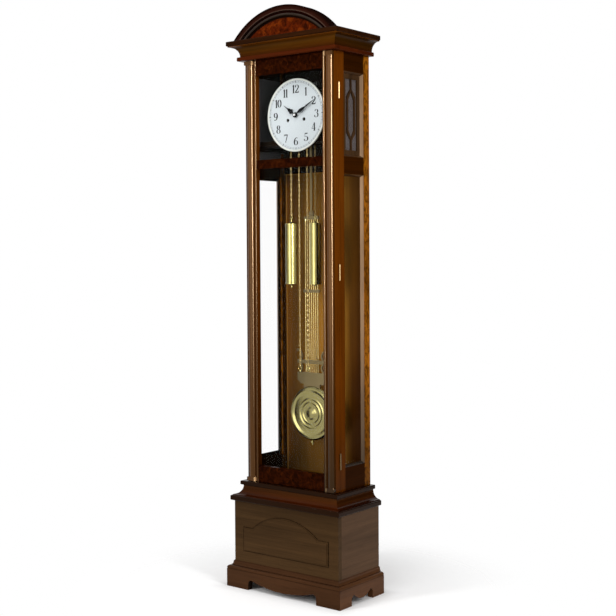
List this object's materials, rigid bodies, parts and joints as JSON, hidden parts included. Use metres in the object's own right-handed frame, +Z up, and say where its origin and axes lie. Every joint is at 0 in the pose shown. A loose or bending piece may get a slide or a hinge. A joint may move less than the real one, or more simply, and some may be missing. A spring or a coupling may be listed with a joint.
{
  "type": "longcase clock",
  "caption": "Tall longcase clock with an arched pediment, a full-height glazed door, glazed sides with fretwork, a white dial, chain-hung brass weights and a lyre pendulum.",
  "frame": {"origin": "middle of the footprint, on the floor", "axes": "+Z up, the front faces -Y, the wall is at +Y"},
  "size_m": [0.492, 0.252, 1.986],
  "materials": {
    "walnut": "high gloss",
    "burl": "high gloss",
    "back_veneer": "semi gloss",
    "seat_wood": "satin",
    "cloth": "matte",
    "glass": "clear",
    "dial_white": "satin",
    "black_steel": "gloss",
    "steel": "satin",
    "brass": "polished"
  },
  "bodies": {
    "case": {"plinth_front": "walnut", "plinth_sides": "walnut", "base_front_panel": "walnut", "base_side_panels": "walnut", "base_floor_board": "seat_wood", "back_boards": "back_veneer", "waist_lower_board": "walnut", "waist_cove_moulding": "walnut", "trunk_floor_board": "walnut", "trunk_stiles": "walnut", "side_rails": "walnut", "side_window_beads": "walnut", "side_frets": "walnut", "sound_cloth_panels": "cloth", "side_window_glasses": "glass", "neck_board": "walnut", "cornice_cove_moulding": "walnut", "crown_board": "walnut", "pediment_arch": "walnut", "pediment_tympanum": "burl", "seat_board": "seat_wood", "seat_cleats": "seat_wood", "hinge_case_leaves": "brass", "hinge_pins": "brass", "movement_plates": "brass", "movement_pillars": "brass", "dial": "dial_white", "back_cock": "brass", "gong_bell": "brass"},
    "door": {"door_stiles": "walnut", "door_rails": "burl", "door_columns": "walnut", "door_glasses": "glass", "hinge_door_leaves": "brass"},
    "minute_work": {"centre_arbor": "brass", "minute_hand": "black_steel"},
    "hour_work": {"hour_wheel": "brass", "hour_hand": "black_steel"},
    "minute_wheel": {"minute_wheel": "brass"},
    "time_great_wheel": {"time_great_wheel": "brass"},
    "third_wheel": {"third_wheel": "brass"},
    "escape_wheel": {"escape_wheel": "brass"},
    "strike_great_wheel": {"strike_great_wheel": "brass"},
    "strike_hammer": {"strike_hammer": "steel"},
    "anchor": {"anchor_and_crutch": "steel"},
    "left_chain_wheel": {"left_chain_wheel": "brass"},
    "right_chain_wheel": {"right_chain_wheel": "brass"},
    "left_weight": {"left_weight": "brass", "left_weight_chain": "brass"},
    "right_weight": {"right_weight": "brass", "right_weight_chain": "brass"},
    "left_ring": {"left_chain_ring": "brass", "left_free_chain": "brass"},
    "right_ring": {"right_chain_ring": "brass", "right_free_chain": "brass"},
    "pendulum": {"suspension_spring": "steel", "pendulum_rods": "brass", "pendulum_lyre": "brass", "pendulum_bob": "brass", "rating_nut": "brass"}
  },
  "joints": [
    {"name": "door_hinge", "type": "hinge", "parent": "case", "child": "door", "pos_m": [0.1943, -0.0485, 1.09], "axis": [0, 0, 1], "range_deg": [0, 110]},
    {"name": "minute_turn", "type": "hinge", "parent": "case", "child": "minute_work", "pos_m": [0, 0, 1.628], "axis": [0, 1, 0], "continuous": true},
    {"name": "hour_turn", "type": "hinge", "parent": "case", "child": "hour_work", "pos_m": [0, 0, 1.628], "axis": [0, 1, 0], "continuous": true},
    {"name": "minute_wheel_turn", "type": "hinge", "parent": "case", "child": "minute_wheel", "pos_m": [0, 0, 1.604], "axis": [0, 1, 0], "continuous": true},
    {"name": "time_great_turn", "type": "hinge", "parent": "case", "child": "time_great_wheel", "pos_m": [-0.035, 0, 1.612], "axis": [0, 1, 0], "continuous": true},
    {"name": "third_turn", "type": "hinge", "parent": "case", "child": "third_wheel", "pos_m": [0.024, 0, 1.64977], "axis": [0, 1, 0], "continuous": true},
    {"name": "escape_turn", "type": "hinge", "parent": "case", "child": "escape_wheel", "pos_m": [0, 0, 1.66875], "axis": [0, 1, 0], "continuous": true},
    {"name": "strike_great_turn", "type": "hinge", "parent": "case", "child": "strike_great_wheel", "pos_m": [0.035, 0, 1.612], "axis": [0, 1, 0], "continuous": true},
    {"name": "hammer_swing", "type": "hinge", "parent": "case", "child": "strike_hammer", "pos_m": [0.053, 0.0125, 1.686], "axis": [0, 1, 0], "range_deg": [-3, 14]},
    {"name": "pendulum_swing", "type": "hinge", "parent": "case", "child": "pendulum", "pos_m": [0, 0.05, 1.69375], "axis": [0, 1, 0], "range_deg": [-3, 3]},
    {"name": "anchor_swing", "type": "hinge", "parent": "case", "child": "anchor", "pos_m": [0, 0.05, 1.69375], "axis": [0, 1, 0], "range_deg": [-3, 3]},
    {"name": "left_weight_slide", "type": "slide", "parent": "case", "child": "left_weight", "axis": [0, 0, 1], "range_m": [-0.65, 0.21], "deforming": ["left_weight_chain"]},
    {"name": "right_weight_slide", "type": "slide", "parent": "case", "child": "right_weight", "axis": [0, 0, 1], "range_m": [-0.65, 0.21], "deforming": ["right_weight_chain"]},
    {"name": "left_ring_slide", "type": "slide", "parent": "case", "child": "left_ring", "axis": [0, 0, 1], "range_m": [-0.21, 0.65], "deforming": ["left_free_chain"]},
    {"name": "right_ring_slide", "type": "slide", "parent": "case", "child": "right_ring", "axis": [0, 0, 1], "range_m": [-0.21, 0.65], "deforming": ["right_free_chain"]},
    {"name": "left_chain_turn", "type": "hinge", "parent": "case", "child": "left_chain_wheel", "pos_m": [-0.035, 0, 1.612], "axis": [0, 1, 0], "continuous": true},
    {"name": "right_chain_turn", "type": "hinge", "parent": "case", "child": "right_chain_wheel", "pos_m": [0.035, 0, 1.612], "axis": [0, 1, 0], "continuous": true}
  ],
  "couplings": [
    {"joint": "hour_turn", "follows": "minute_turn", "ratio": 0.083333},
    {"joint": "minute_wheel_turn", "follows": "minute_turn", "ratio": -0.33333},
    {"joint": "time_great_turn", "follows": "minute_turn", "ratio": -0.1},
    {"joint": "third_turn", "follows": "minute_turn", "ratio": -8},
    {"joint": "escape_turn", "follows": "minute_turn", "ratio": 60},
    {"joint": "anchor_swing", "follows": "pendulum_swing", "ratio": 1},
    {"joint": "left_ring_slide", "follows": "left_weight_slide", "ratio": -1},
    {"joint": "right_ring_slide", "follows": "right_weight_slide", "ratio": -1},
    {"joint": "left_chain_turn", "follows": "left_weight_slide", "rad_per_m": 57.471},
    {"joint": "right_chain_turn", "follows": "right_weight_slide", "rad_per_m": -57.471}
  ]
}
